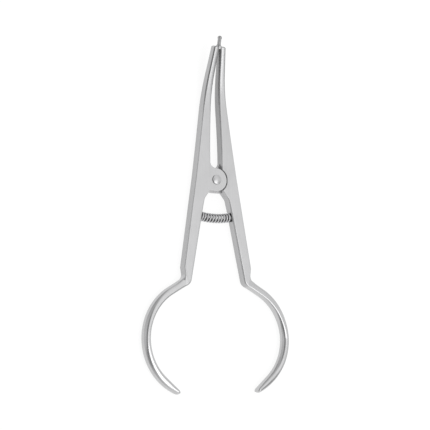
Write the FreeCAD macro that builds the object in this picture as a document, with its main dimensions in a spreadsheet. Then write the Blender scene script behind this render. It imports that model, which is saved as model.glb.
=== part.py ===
"""Separating pliers: two forged arms on a half-lap joint, sprung shut, with a split round prong at the tip.

The pliers lie flat on their backs. X is across them, Y runs towards the beak tips and Z is up. The origin is
on the rivet's axis, in the plane of the underside. All sizes are millimetres and degrees.
"""
import FreeCAD, Part
import math
import os
import Sketcher
from FreeCAD import Placement, Rotation, Vector

# Driving sizes: name, value, what it measures
SIZES = [
    ("arm_thickness", 4.2, "thickness of the forged arms"),
    ("joint_half_width", 10, "rivet axis to an arm's outer edge"),
    ("shoulder_y", 55.6, "rivet axis to the shoulder that carries the prong"),
    ("beak_overrun", 2, "length of a beak's blank past the shoulder, trimmed off"),
    ("tip_half_width", 2.62, "half the width of the closed beaks at the blank's end"),
    ("beak_sweep_radius", 1290, "hollow sweep of a beak's outer edge"),
    ("jaw_sweep_radius", 620, "hollow sweep of a beak's inner edge"),
    ("jaw_root_x", 2.9, "half the gap between the beaks at the joint"),
    ("jaw_root_y", 5, "where the straight gap ends and the sweep begins"),
    ("parting_gap", 0.04, "gap between the closed beaks at the tip"),
    ("bend_start_y", 29.5, "where the beaks begin to bend upwards"),
    ("bend_radius", 54.5, "radius of the upward bend on the top face"),
    ("bend_angle", 16.1, "upward bend of the beaks"),
    ("beak_end_thickness", 3.5, "thickness of a beak at the shoulder"),
    ("prong_depth", 1.6, "prong axis below the top face of the beak"),
    ("prong_length", 4.4, "length of the prong past the shoulder"),
    ("prong_neck_radius", 0.76, "radius of the closed prong at its neck"),
    ("prong_lip_radius", 0.92, "radius of the closed prong at its lip"),
    ("prong_lip_length", 1.5, "length of the thicker lip"),
    ("prong_flare", 1.1, "hollow radius between prong and shoulder"),
    ("front_boss_radius", 4.9, "radius of the left arm's front boss"),
    ("rear_boss_radius", 5.2, "radius of the right arm's rear boss"),
    ("recess_gap", 0.3, "gap round each boss in the other arm's recess"),
    ("lap_clearance", 0.04, "running clearance between the lapped faces"),
    ("root_fillet", 2.7, "hollow radius between boss and beak"),
    ("notch_fillet", 2, "hollow radius between boss and handle"),
    ("horn_y", 4.2, "lower corner of an arm beside the recess"),
    ("handle_inner_angle", 11.1, "lean of the handle's inner edge"),
    ("handle_inner_length", 36.2, "length of the handle's inner edge"),
    ("elbow_x", 16, "rivet axis to the elbow's outer corner, across"),
    ("elbow_y", 36.7, "rivet axis to the elbow's outer corner, along"),
    ("elbow_inner_round", 3.6, "rounding of the elbow's inner corner"),
    ("elbow_outer_hollow", 2.8, "hollow radius above the elbow's bar"),
    ("elbow_tip_round", 1, "rounding of the elbow's outer corner"),
    ("bow_x", 10.55, "centre of a finger bow, across"),
    ("bow_y", 65.9, "centre of a finger bow, along"),
    ("bow_radius", 22.3, "radius of a bow to the middle of its bar"),
    ("bow_width", 3.6, "width of the bow's bar"),
    ("bow_start_angle", 60, "where the bow's round begins"),
    ("bow_taper_angle", 48, "where the bar starts to taper, below the middle of the bow"),
    ("bow_end_angle", 70.5, "where the bow ends, below the middle of the bow"),
    ("inner_bar_run", 9.3, "straight of the bar on its inner side"),
    ("outer_bar_run", 8.3, "straight of the bar on its outer side"),
    ("bow_end_round", 0.9, "rounding of the bow's end corners"),
    ("edge_chamfer", 0.6, "chamfer along an arm's outline, front and back"),
    ("rivet_radius", 1.5, "radius of the rivet's shank"),
    ("rivet_head_radius", 2, "radius of the domed head"),
    ("rivet_head_rim", 0.4, "height of the head's straight rim"),
    ("rivet_head_height", 0.8, "height of the head to its crown"),
    ("rivet_flare", 0.5, "width and depth of the peened foot"),
    ("rivet_clearance", 0.03, "running clearance round the rivet"),
    ("press_clearance", 0.01, "clearance round pieces that are pressed in"),
    ("spring_y", 16, "rivet axis to the middle of the spring"),
    ("spring_radius", 2.05, "outer radius of the spring"),
    ("wire_radius", 0.4, "radius of the spring's wire"),
    ("spring_turns", 11, "number of turns"),
    ("stud_radius", 1.05, "radius of a spring stud"),
    ("stud_reach", 2.4, "length of a stud inside the spring"),
    ("stud_root", 1.6, "length of a stud inside its arm"),
]

FRONT = "XY_Plane"
SIDE = "YZ_Plane"


def make_sizes(doc):
    """Put every driving size into the sheet, one row each, and name its cell."""
    sheet = doc.addObject("Spreadsheet::Sheet", "Sizes")
    for row, (name, value, meaning) in enumerate(SIZES, start=1):
        sheet.set(f"A{row}", meaning)
        sheet.set(f"B{row}", str(value))
        sheet.setAlias(f"B{row}", name)
    doc.recompute()
    return sheet


def new_sketch(body, name, role, lift=None):
    """A sketch on one of the body's own planes, lifted along the plane's normal where lift is given."""
    sketch = body.newObject("Sketcher::SketchObject", name)
    plane = next(p for p in body.Origin.OriginFeatures if p.Role == role)
    sketch.AttachmentSupport = (plane, [""])
    sketch.MapMode = "FlatFace"
    if lift:
        sketch.setExpression("AttachmentOffset.Base.z", lift)
    return sketch


def bind(sketch, kind, geometry, expression):
    """Add a dimension whose value is an expression of the sheet's sizes."""
    index = sketch.addConstraint(Sketcher.Constraint(kind, *geometry, sketch.evalExpression(expression)))
    sketch.setExpression(f"Constraints[{index}]", expression)


def arc_through(start, end, radius, turn):
    """The short arc from start to end; turn is +1 where it turns left on the way and -1 where it turns right."""
    chord = end - start
    across = Vector(-chord.y, chord.x, 0).normalize()
    drop = math.sqrt(max(radius**2 - (chord.Length / 2) ** 2, 0))
    centre = start + chord / 2 + across * (turn * drop)
    middle = centre - across * (turn * radius)
    return Part.Arc(start, middle, end)


def profile(sketch, corners, arcs=()):
    """Draw a closed outline. Corners are pairs of expressions; arcs maps a side's number to its radius and turn."""
    arcs = dict(arcs)
    places = [Vector(sketch.evalExpression(x), sketch.evalExpression(y), 0) for x, y in corners]
    ends = []
    for side, start in enumerate(places):
        end = places[(side + 1) % len(places)]
        if side in arcs:
            radius, turn = arcs[side]
            index = sketch.addGeometry(arc_through(start, end, sketch.evalExpression(radius), turn))
            ends.append((index, 1, 2) if turn > 0 else (index, 2, 1))
        else:
            ends.append((sketch.addGeometry(Part.LineSegment(start, end)), 1, 2))
    for side, (index, first, _) in enumerate(ends):
        before, _, last = ends[side - 1]
        sketch.addConstraint(Sketcher.Constraint("Coincident", before, last, index, first))
        bind(sketch, "DistanceX", (-1, 1, index, first), corners[side][0])
        bind(sketch, "DistanceY", (-1, 1, index, first), corners[side][1])
    for side, (radius, _) in arcs.items():
        bind(sketch, "Radius", (ends[side][0],), radius)


def axis_line(sketch, start, end):
    """A construction line between two points given as expressions, the axis of a turned shape."""
    places = [Vector(sketch.evalExpression(x), sketch.evalExpression(y), 0) for x, y in (start, end)]
    index = sketch.addGeometry(Part.LineSegment(*places), True)
    for position, (x, y) in ((1, start), (2, end)):
        bind(sketch, "DistanceX", (-1, 1, index, position), x)
        bind(sketch, "DistanceY", (-1, 1, index, position), y)


def pad(body, name, sketch, length):
    feature = body.newObject("PartDesign::Pad", name)
    feature.Profile = sketch
    feature.setExpression("Length", length)
    return feature


def pocket_through(body, name, sketch):
    """Cut the sketch's outline right through the body, both ways from the sketch."""
    feature = body.newObject("PartDesign::Pocket", name)
    feature.Profile = sketch
    feature.SideType = "Symmetric"
    feature.Type = "ThroughAll"
    return feature


def turned(body, kind, name, sketch, angle=360, backwards=False):
    """Revolve the sketch about its own construction line, as a Revolution or a Groove."""
    feature = body.newObject(f"PartDesign::{kind}", name)
    feature.Profile = sketch
    feature.ReferenceAxis = (sketch, ["Axis0"])
    feature.Angle = angle
    feature.Reversed = backwards
    return feature


def upright_edge(shape, x, y):
    """The name of the vertical edge that stands at x, y."""
    for number, edge in enumerate(shape.Edges, start=1):
        first, last = edge.Vertexes[0].Point, edge.Vertexes[-1].Point
        upright = abs(first.x - last.x) + abs(first.y - last.y) < 1e-4
        if upright and math.hypot(first.x - x, first.y - y) < 1e-3:
            return f"Edge{number}"
    raise ValueError(f"no vertical edge at {x:.3f}, {y:.3f}")


def round_corners(body, name, radius, corners):
    """Round the vertical edges at the given corners of the body's last shape."""
    body.Document.recompute()
    base = body.Tip
    places = [(base.evalExpression(x), base.evalExpression(y)) for x, y in corners]
    feature = body.newObject("PartDesign::Fillet", name)
    feature.Base = (base, [upright_edge(base.Shape, x, y) for x, y in places])
    feature.setExpression("Radius", radius)
    return feature


def bevel_outline(body, name, through):
    """Chamfer the arm's front and back outlines, which run smoothly on from the edges through the given point."""
    body.Document.recompute()
    base = body.Tip
    x, y = (base.evalExpression(part) for part in through)
    edges = []
    for z in (0, base.evalExpression("Sizes.arm_thickness")):
        point = Part.Vertex(x, y, z)
        gaps = [edge.distToShape(point)[0] for edge in base.Shape.Edges]
        edges.append(f"Edge{gaps.index(min(gaps)) + 1}")
    feature = body.newObject("PartDesign::Chamfer", name)
    feature.Base = (base, edges)
    feature.setExpression("Size", "Sizes.edge_chamfer")
    return feature


def on_bow(radius, angle, hand):
    """A point of the finger bow as two expressions, with the angle measured up from the bow's middle."""
    x = f"{hand} * (Sizes.bow_x + ({radius}) * cos({angle}))"
    y = f"-Sizes.bow_y + ({radius}) * sin({angle})"
    return x, y


def before_bow(radius, run, hand):
    """The point that lies the given run before the bow's round, on the straight that leads into it."""
    angle = "Sizes.bow_start_angle"
    x = f"{hand} * (Sizes.bow_x + ({radius}) * cos({angle}) - ({run}) * sin({angle}))"
    y = f"-Sizes.bow_y + ({radius}) * sin({angle}) + ({run}) * cos({angle})"
    return x, y


BOW_INNER = "Sizes.bow_radius - Sizes.bow_width / 2"
BOW_OUTER = "Sizes.bow_radius + Sizes.bow_width / 2"
BEAK_END_Y = "(Sizes.shoulder_y + Sizes.beak_overrun)"
LEAN = "Sizes.handle_inner_angle"
BEND = "Sizes.bend_angle"
MIDDLE = "Sizes.arm_thickness / 2"
LAP = "(Sizes.arm_thickness - Sizes.lap_clearance) / 2"


def handle_top(hand):
    """The top of the handle's straight inner edge."""
    x, y = before_bow(BOW_INNER, "Sizes.inner_bar_run", 1)
    x = f"{hand} * ({x} - Sizes.handle_inner_length * sin({LEAN}))"
    y = f"{y} + Sizes.handle_inner_length * cos({LEAN})"
    return x, y


def arm_outline(hand):
    """Corners of an arm seen from above, and its arcs. The arm lies on the side of X that hand gives."""
    corners = [
        (f"{hand} * Sizes.parting_gap / 2", BEAK_END_Y),
        (f"{hand} * Sizes.jaw_root_x", "Sizes.jaw_root_y"),
        (f"{hand} * Sizes.jaw_root_x", "-Sizes.horn_y"),
        handle_top(hand),
        before_bow(BOW_INNER, "Sizes.inner_bar_run", hand),
        on_bow(BOW_INNER, "Sizes.bow_start_angle", hand),
        on_bow(BOW_INNER, "-Sizes.bow_taper_angle", hand),
        on_bow(f"({BOW_INNER}) / cos(Sizes.bow_end_angle - Sizes.bow_taper_angle)", "-Sizes.bow_end_angle", hand),
        on_bow(BOW_OUTER, "-Sizes.bow_end_angle", hand),
        on_bow(BOW_OUTER, "Sizes.bow_start_angle", hand),
        before_bow(BOW_OUTER, "Sizes.outer_bar_run", hand),
        (f"{hand} * Sizes.elbow_x", "-Sizes.elbow_y"),
        (f"{hand} * Sizes.joint_half_width", "0"),
        (f"{hand} * Sizes.tip_half_width", BEAK_END_Y),
    ]
    arcs = {
        0: ("Sizes.jaw_sweep_radius", -hand),
        5: (BOW_INNER, -hand),
        8: (BOW_OUTER, hand),
        12: ("Sizes.beak_sweep_radius", -hand),
    }
    return corners, arcs


def boss_outline(hand, radius):
    """Corners of the half-thickness boss with its hollow roots, and its arcs, for the arm on the side hand gives."""
    hollow_x = "(Sizes.jaw_root_x - Sizes.root_fillet)"
    reach = f"({radius} + Sizes.root_fillet)"
    hollow_y = f"sqrt({reach}^2 - {hollow_x}^2)"
    top_x, top_y = handle_top(1)
    notch_y = f"({radius} + Sizes.notch_fillet)"
    notch_x = f"({top_x} + ({notch_y} + {top_y}) * tan({LEAN}) - Sizes.notch_fillet / cos({LEAN}))"
    foot_x = f"({notch_x} + Sizes.notch_fillet * cos({LEAN}))"
    foot_y = f"(Sizes.notch_fillet * sin({LEAN}) - {notch_y})"
    corners = [
        (f"{hand} * (Sizes.jaw_root_x + Sizes.notch_fillet)", hollow_y),
        (f"{hand} * Sizes.jaw_root_x", hollow_y),
        (f"{hand} * {radius} * {hollow_x} / {reach}", f"{radius} * {hollow_y} / {reach}"),
        (f"{-hand} * {radius}", "0"),
        ("0", f"-{radius}"),
        (f"{hand} * {notch_x}", f"-{radius}"),
        (f"{hand} * {foot_x}", foot_y),
        (f"{hand} * ({foot_x} + Sizes.notch_fillet)", foot_y),
    ]
    arcs = {
        1: ("Sizes.root_fillet", -hand),
        2: (radius, hand),
        3: (radius, hand),
        5: ("Sizes.notch_fillet", -hand),
    }
    return corners, arcs


def bent_top(y):
    """Height of the beak's top face at a y past the bend."""
    rise = f"Sizes.bend_radius * (1 - cos({BEND}))"
    run = f"({y} - Sizes.bend_start_y - Sizes.bend_radius * sin({BEND}))"
    return f"(Sizes.arm_thickness + {rise} + {run} * tan({BEND}))"


SHOULDER_TOP = bent_top("Sizes.shoulder_y")
BLANK_HEIGHT = f"({bent_top(BEAK_END_Y)} + Sizes.arm_thickness)"
PAST_TIP_Y = "(Sizes.shoulder_y + Sizes.prong_length + 2 * Sizes.arm_thickness)"
BELOW = "-Sizes.arm_thickness"


def on_shoulder(along, down):
    """A point past the shoulder and below the top face, square to the bent beak, as y and z expressions."""
    y = f"Sizes.shoulder_y + ({along}) * cos({BEND}) + ({down}) * sin({BEND})"
    z = f"{SHOULDER_TOP} + ({along}) * sin({BEND}) - ({down}) * cos({BEND})"
    return y, z


def after_bend(radius):
    """The end of a bend of the given radius about the bend's centre, as y and z expressions."""
    y = f"Sizes.bend_start_y + {radius} * sin({BEND})"
    z = f"Sizes.arm_thickness + Sizes.bend_radius - {radius} * cos({BEND})"
    return y, z


def top_waste():
    """Outline of what is cut from above the handle and the bent beak, from the side."""
    behind = "-(Sizes.bow_y + Sizes.bow_radius + Sizes.bow_width)"
    above = f"({bent_top(PAST_TIP_Y)} + Sizes.arm_thickness)"
    corners = [
        (behind, "Sizes.arm_thickness"),
        ("Sizes.bend_start_y", "Sizes.arm_thickness"),
        after_bend("Sizes.bend_radius"),
        (PAST_TIP_Y, bent_top(PAST_TIP_Y)),
        (PAST_TIP_Y, above),
        (behind, above),
    ]
    return corners, {1: ("Sizes.bend_radius", 1)}


def under_waste():
    """Outline of what is cut from under the bent beak and past its shoulder, from the side."""
    under_radius = "(Sizes.bend_radius + Sizes.arm_thickness)"
    over_y, over_z = on_shoulder("0", "-2 * Sizes.arm_thickness")
    corners = [
        ("Sizes.bend_start_y", "0"),
        after_bend(under_radius),
        on_shoulder("0", "Sizes.beak_end_thickness"),
        (over_y, over_z),
        (PAST_TIP_Y, over_z),
        (PAST_TIP_Y, BELOW),
        ("Sizes.bend_start_y", BELOW),
    ]
    return corners, {0: (under_radius, 1)}


def prong_outline():
    """Half section of the round prong and its flared root, from the side."""
    root = "Sizes.prong_neck_radius + Sizes.prong_flare"
    axis = "Sizes.prong_depth"
    sunk = "-Sizes.prong_flare"
    corners = [
        on_shoulder(sunk, axis),
        on_shoulder(sunk, f"{axis} - ({root})"),
        on_shoulder("0", f"{axis} - ({root})"),
        on_shoulder("Sizes.prong_flare", f"{axis} - Sizes.prong_neck_radius"),
        on_shoulder("Sizes.prong_length - Sizes.prong_lip_length", f"{axis} - Sizes.prong_neck_radius"),
        on_shoulder("Sizes.prong_length - Sizes.prong_lip_radius", f"{axis} - Sizes.prong_lip_radius"),
        on_shoulder("Sizes.prong_length", axis),
    ]
    return corners, {2: ("Sizes.prong_flare", 1), 5: ("Sizes.prong_lip_radius", -1)}


def on_spring_seat(hand, deep, down):
    """A point from the middle of a spring seat: deep into the arm, down along its inner face."""
    top_x, top_y = handle_top(1)
    x = f"{hand} * ({top_x} + ({SEAT_RUN} + {down}) * sin({LEAN}) + ({deep}) * cos({LEAN}))"
    y = f"{top_y} - ({SEAT_RUN} + {down}) * cos({LEAN}) + ({deep}) * sin({LEAN})"
    return x, y


def spring_centre_y():
    """Where the two handles' inner faces would meet, the centre of the spring's curve."""
    top_x, top_y = handle_top(1)
    return f"({top_y} + {top_x} / tan({LEAN}))"


SPRING_SWEEP = f"({spring_centre_y()} + Sizes.spring_y)"
SEAT_RUN = f"({SPRING_SWEEP} - ({handle_top(1)[0]}) / sin({LEAN}))"


def stud_section(hand, radius, out, deep):
    """Half section of a stud or its hole in the plane of the arms."""
    return [
        on_spring_seat(hand, f"-({out})", "0"),
        on_spring_seat(hand, deep, "0"),
        on_spring_seat(hand, deep, radius),
        on_spring_seat(hand, f"-({out})", radius),
    ]


def countersink_outline():
    """Half section of the countersink that the rivet's peened foot turns in, its cone clear of the foot's."""
    return [
        ("0", "0"),
        ("Sizes.rivet_radius + Sizes.rivet_flare + 1.5 * Sizes.rivet_clearance", "0"),
        ("Sizes.rivet_radius + Sizes.rivet_clearance", "Sizes.rivet_flare + Sizes.rivet_clearance / 2"),
        ("0", "Sizes.rivet_flare + Sizes.rivet_clearance / 2"),
    ]


def make_arm(doc, name, hand):
    """One forged arm. The left arm, hand -1, keeps its boss in front; the right arm keeps its boss at the back."""
    front = hand < 0
    body = doc.addObject("PartDesign::Body", name)
    radius = "Sizes.front_boss_radius" if front else "Sizes.rear_boss_radius"
    other_radius = "Sizes.rear_boss_radius" if front else "Sizes.front_boss_radius"
    clearance = "Sizes.press_clearance" if front else "Sizes.rivet_clearance"

    plan = new_sketch(body, name + "_plan", FRONT)
    profile(plan, *arm_outline(hand))
    pad(body, name + "_blank", plan, BLANK_HEIGHT)

    under = new_sketch(body, name + "_under_waste", SIDE)
    profile(under, *under_waste())
    pocket_through(body, name + "_under_trim", under)

    prong = new_sketch(body, name + "_prong_section", SIDE, f"{hand} * Sizes.parting_gap / 2")
    axis_line(prong, on_shoulder("0", "Sizes.prong_depth"), on_shoulder("1", "Sizes.prong_depth"))
    profile(prong, *prong_outline())
    turned(body, "Revolution", name + "_prong", prong, angle=180, backwards=front)

    top = new_sketch(body, name + "_top_waste", SIDE)
    profile(top, *top_waste())
    pocket_through(body, name + "_top_trim", top)

    lap = new_sketch(body, name + "_recess_plan", FRONT, f"{MIDDLE} + {hand * -0.5} * Sizes.lap_clearance")
    circle(lap, f"{other_radius} + Sizes.recess_gap")
    recess = body.newObject("PartDesign::Pocket", name + "_recess")
    recess.Profile = lap
    recess.Type = "ThroughAll"
    recess.Reversed = not front

    boss = new_sketch(body, name + "_boss_plan", FRONT, f"{MIDDLE} + Sizes.lap_clearance / 2" if front else None)
    profile(boss, *boss_outline(hand, radius))
    pad(body, name + "_boss", boss, LAP)

    hole = new_sketch(body, name + "_rivet_hole_plan", FRONT)
    circle(hole, f"Sizes.rivet_radius + {clearance}")
    pocket_through(body, name + "_rivet_hole", hole)
    if not front:
        sink = new_sketch(body, name + "_countersink_section", "XZ_Plane")
        axis_line(sink, ("0", "0"), ("0", "1"))
        profile(sink, countersink_outline())
        turned(body, "Groove", name + "_countersink", sink)

    seat = new_sketch(body, name + "_stud_hole_section", FRONT, MIDDLE)
    axis_line(seat, on_spring_seat(hand, "0", "0"), on_spring_seat(hand, "1", "0"))
    bore = "(Sizes.stud_radius + Sizes.press_clearance)"
    profile(seat, stud_section(hand, bore, "Sizes.wire_radius", "Sizes.stud_root + Sizes.press_clearance"))
    turned(body, "Groove", name + "_stud_hole", seat)

    corner = "Sizes.bow_end_angle - Sizes.bow_taper_angle"
    ends = [on_bow(f"({BOW_INNER}) / cos({corner})", "-Sizes.bow_end_angle", hand)]
    ends.append(on_bow(BOW_OUTER, "-Sizes.bow_end_angle", hand))
    round_corners(body, name + "_bow_end", "Sizes.bow_end_round", ends)
    elbow = [before_bow(BOW_INNER, "Sizes.inner_bar_run", hand)]
    round_corners(body, name + "_elbow_inside", "Sizes.elbow_inner_round", elbow)
    hollow = [before_bow(BOW_OUTER, "Sizes.outer_bar_run", hand)]
    round_corners(body, name + "_elbow_hollow", "Sizes.elbow_outer_hollow", hollow)
    tip = [(f"{hand} * Sizes.elbow_x", "-Sizes.elbow_y")]
    round_corners(body, name + "_elbow_tip", "Sizes.elbow_tip_round", tip)
    bevel_outline(body, name + "_edges", on_bow(BOW_INNER, "0", hand))
    return body


def circle(sketch, radius):
    """A circle about the rivet's axis."""
    index = sketch.addGeometry(Part.Circle(Vector(), Vector(0, 0, 1), sketch.evalExpression(radius)))
    sketch.addConstraint(Sketcher.Constraint("Coincident", index, 3, -1, 1))
    bind(sketch, "Radius", (index,), radius)


def make_rivet(doc, name):
    """The joint's rivet: a rimmed dome in front, a plain shank and a foot peened flush behind."""
    body = doc.addObject("PartDesign::Body", name)
    section = new_sketch(body, name + "_section", "XZ_Plane")
    axis_line(section, ("0", "0"), ("0", "Sizes.arm_thickness"))
    rise = "(Sizes.rivet_head_height - Sizes.rivet_head_rim)"
    dome = f"((Sizes.rivet_head_radius^2 + {rise}^2) / (2 * {rise}))"
    corners = [
        ("0", "0"),
        ("Sizes.rivet_radius + Sizes.rivet_flare", "0"),
        ("Sizes.rivet_radius", "Sizes.rivet_flare"),
        ("Sizes.rivet_radius", "Sizes.arm_thickness"),
        ("Sizes.rivet_head_radius", "Sizes.arm_thickness"),
        ("Sizes.rivet_head_radius", "Sizes.arm_thickness + Sizes.rivet_head_rim"),
        ("0", "Sizes.arm_thickness + Sizes.rivet_head_height"),
    ]
    profile(section, corners, {5: (dome, 1)})
    turned(body, "Revolution", name + "_turned", section)
    return body


def make_stud(doc, name, hand):
    """A round stud, pressed into the arm's inner face, that the spring's end slips over."""
    body = doc.addObject("PartDesign::Body", name)
    section = new_sketch(body, name + "_section", FRONT, MIDDLE)
    axis_line(section, on_spring_seat(hand, "0", "0"), on_spring_seat(hand, "1", "0"))
    profile(section, stud_section(hand, "Sizes.stud_radius", "Sizes.stud_reach", "Sizes.stud_root"))
    turned(body, "Revolution", name + "_turned", section)
    return body


def make_spring(doc, name, sheet):
    """The coil spring, bent along the arc that meets both handles square, with a closed turn at each end.

    Every turn is four arcs that run smoothly into one another. The wire's section is an octagon.
    """
    sweep = sheet.evalExpression(SPRING_SWEEP)
    centre_y = sheet.evalExpression(spring_centre_y())
    coil_radius = sheet.spring_radius - sheet.wire_radius
    half_length = sweep * math.radians(sheet.handle_inner_angle) - sheet.wire_radius - sheet.press_clearance
    crowding = sweep / (sweep - coil_radius)
    closed_pitch = (2 * sheet.wire_radius + sheet.rivet_clearance) * crowding
    open_pitch = 2 * (half_length - closed_pitch) / (sheet.spring_turns - 2)
    sides = 8

    def wire_at(turn):
        """The middle of the wire after a number of turns."""
        closed = min(turn, 1) + max(turn - sheet.spring_turns + 1, 0)
        opened = min(max(turn - 1, 0), sheet.spring_turns - 2)
        swing = (closed * closed_pitch + opened * open_pitch - half_length) / sweep
        out = sweep + coil_radius * math.cos(2 * math.pi * turn)
        height = sheet.arm_thickness / 2 + coil_radius * math.sin(2 * math.pi * turn)
        return Vector(out * math.sin(swing), centre_y - out * math.cos(swing), height)

    quarters = [wire_at(quarter / 4) for quarter in range(int(sheet.spring_turns * 4) + 1)]
    path = [Part.Arc(quarters[0], wire_at(1 / 8), quarters[1]).toShape()]
    for start, end in zip(quarters[1:], quarters[2:]):
        heading = path[-1].tangentAt(path[-1].LastParameter)
        chord = end - start
        along = Vector(chord).normalize()
        aside = (heading - along * heading.dot(along)).normalize()
        bulge = chord.Length / 2 * math.tan(heading.getAngle(along) / 2)
        path.append(Part.Arc(start, start + chord / 2 + aside * bulge, end).toShape())
    heading = path[0].tangentAt(path[0].FirstParameter)
    ring = Part.Circle(quarters[0], heading, sheet.wire_radius)
    corners = [ring.value(2 * math.pi * side / sides) for side in range(sides)]
    section = Part.Face(Part.makePolygon(corners + corners[:1]))
    spring = doc.addObject("Part::Feature", name)
    spring.Shape = Part.Wire(path).makePipe(section)
    spring.Placement = Placement(Vector(), Rotation())
    return spring


def check(doc, pieces):
    """Stop where an object failed to build or a piece isn't a valid solid."""
    for item in doc.Objects:
        if "Invalid" in item.State or "Error" in item.State:
            raise RuntimeError(f"{item.Label} did not build: {item.State}")
    for piece in pieces:
        if piece.Shape.isNull() or not piece.Shape.isValid() or len(piece.Shape.Solids) != 1:
            raise RuntimeError(f"{piece.Label} is not one valid solid")


def main():
    doc = FreeCAD.newDocument("separating_pliers")
    sheet = make_sizes(doc)
    pieces = [
        make_arm(doc, "left_arm", -1),
        make_arm(doc, "right_arm", 1),
        make_rivet(doc, "pivot_rivet"),
        make_spring(doc, "return_spring", sheet),
        make_stud(doc, "left_spring_stud", -1),
        make_stud(doc, "right_spring_stud", 1),
    ]
    doc.recompute()
    check(doc, pieces)
    os.makedirs("parts", exist_ok=True)
    for piece in pieces:
        piece.Shape.exportStep(f"parts/{piece.Label}.step")
        print(f"{piece.Label}: {piece.Shape.Volume:.1f} mm3")


main()
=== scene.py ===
"""Separating pliers in satin and polished steel, lying on a pale floor.

Sizes in this file are millimetres, and a mesh is brought to metres when it is made. X is across the pliers,
Y runs towards the beak tips and Z is up, with the origin on the rivet's axis in the plane of the underside.
"""

import math

import bmesh
import bpy
from mathutils import Matrix, Vector


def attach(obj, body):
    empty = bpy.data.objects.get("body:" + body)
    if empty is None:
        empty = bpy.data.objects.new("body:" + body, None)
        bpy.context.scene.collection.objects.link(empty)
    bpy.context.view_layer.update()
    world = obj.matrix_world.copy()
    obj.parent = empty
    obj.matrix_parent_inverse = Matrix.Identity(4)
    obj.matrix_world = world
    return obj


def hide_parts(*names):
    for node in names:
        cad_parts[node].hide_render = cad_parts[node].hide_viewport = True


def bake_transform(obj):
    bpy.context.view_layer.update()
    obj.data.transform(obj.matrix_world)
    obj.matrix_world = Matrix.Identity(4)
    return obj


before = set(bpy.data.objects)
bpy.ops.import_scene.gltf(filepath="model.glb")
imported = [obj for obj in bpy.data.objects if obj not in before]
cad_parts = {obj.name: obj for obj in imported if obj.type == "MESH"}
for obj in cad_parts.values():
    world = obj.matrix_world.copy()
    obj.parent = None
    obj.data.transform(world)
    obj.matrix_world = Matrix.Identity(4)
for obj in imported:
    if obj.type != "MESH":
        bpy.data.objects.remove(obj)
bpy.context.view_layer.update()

MM = 0.001

# Arms, seen from above
THICKNESS = 4.2
JOINT_HALF_WIDTH = 10
PARTING = 0.02
SHOULDER_Y = 55.6
BLANK_END_Y = 57.6
TIP_HALF_WIDTH = 2.62
BEAK_SWEEP = 1290
JAW_SWEEP = 620
JAW_ROOT = (2.9, 5)
HORN_Y = -4.2
HANDLE_LEAN = math.radians(11.1)
HANDLE_LENGTH = 36.2
ELBOW_TIP = (16, -36.7)
ELBOW_TIP_ROUND = 1.0
ELBOW_INNER_ROUND = 3.6
ELBOW_HOLLOW = 2.4
INNER_RUN = 9.3
OUTER_RUN = 8.3

# Finger bows
BOW_CENTRE = (10.55, -65.9)
BOW_RADIUS = 22.3
BOW_WIDTH = 3.6
BOW_INSIDE = BOW_RADIUS - BOW_WIDTH / 2
BOW_OUTSIDE = BOW_RADIUS + BOW_WIDTH / 2
BOW_START = math.radians(60)
BOW_TAPER = math.radians(-48)
BOW_END = math.radians(-70.5)
BOW_END_ROUND = 1.1
BOW_END_SHARE = 0.4

# Slanting crease where the flat handle meets the bow's bar, as x, y, x and y, and how far the bar drops past
# it at its inner and its outer edge
CREASE = (16.6, -36.6, 14.0, -44.4)
BAR_DROP = (0.05, 0.42)
BAR_DROP_RUN = 1.6

# Rounding of the arms' edges, as width and height
HANDLE_OUTER = (0.52, 0.52)
BEAK_OUTER = (0.95, 0.8)
BEAK_INNER = (1.3, 0.5)
BEAK_ROUNDS_Y = (24, 40)
ELBOW_Y = -36
ELBOW_OUTER = (0.55, 0.55)
ELBOW_INNER = (0.75, 0.75)
BOW_ROUND_HEIGHT = 1.9
BOW_ROUND_LEAD = 1.5
BOW_ROUND_RUN = 6

# The most that both roundings may take of a section's width, and one of its height
ROUNDS_ACROSS = 0.94
ROUND_UP = 0.47

# Rounding of the inner edge at places along Y, nearly sharp beside the boss
INNER_ROUNDS = ((-34, 0.7), (-12, 0.65), (-8, 0.3), (-4, 0.12), (7, 0.12), (12, 0.4), (21, 0.5))

# How far the hand-ground rounding reaches in from a bow's outer and then its inner edge, by degrees below the
# bow's centre, for the left arm (-1) and the right arm (1)
BOW_ROUNDS = {
    -1: (((-60, 1.4), (-20, 1.9), (0, 1.8), (24, 1.5), (51, 1.2)),
         ((-60, 0.9), (-20, 1.2), (0, 1.4), (51, 1.6))),
    1: (((-60, 1.2), (-20, 1.5), (0, 0.95), (24, 0.95), (51, 1.5)),
        ((-60, 0.7), (-45, 0.85), (-20, 1.3), (0, 2.5), (24, 2.6), (51, 1.6))),
}

# How finely an arm's skin is laid out along its length
BOW_RIBS = 120
ROUND_STEPS = 14
BAR_RIBS = (18, 18, 26)
SQUARE_RIBS_Y = -33
RIB_STEP = 0.55
BEAK_RIBS = 64

# Bend and prong
BEND_START = 29.5
BEND_RADIUS = 54.5
BEND = math.radians(16.1)
END_THICKNESS = 3.5
SHOULDER_ROUND = 0.45
PRONG_DEPTH = 1.6
PRONG_LENGTH = 4.4
PRONG_NOSE = 0.86
NECK_RADIUS = 0.76
NECK_EASE = 0.15
LIP_RADIUS = 0.92
LIP_LENGTH = 1.5
LIP_SLOPE = 0.55
FLARE_ALONG = 1.1
FLARE_OUT = 0.825

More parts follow.
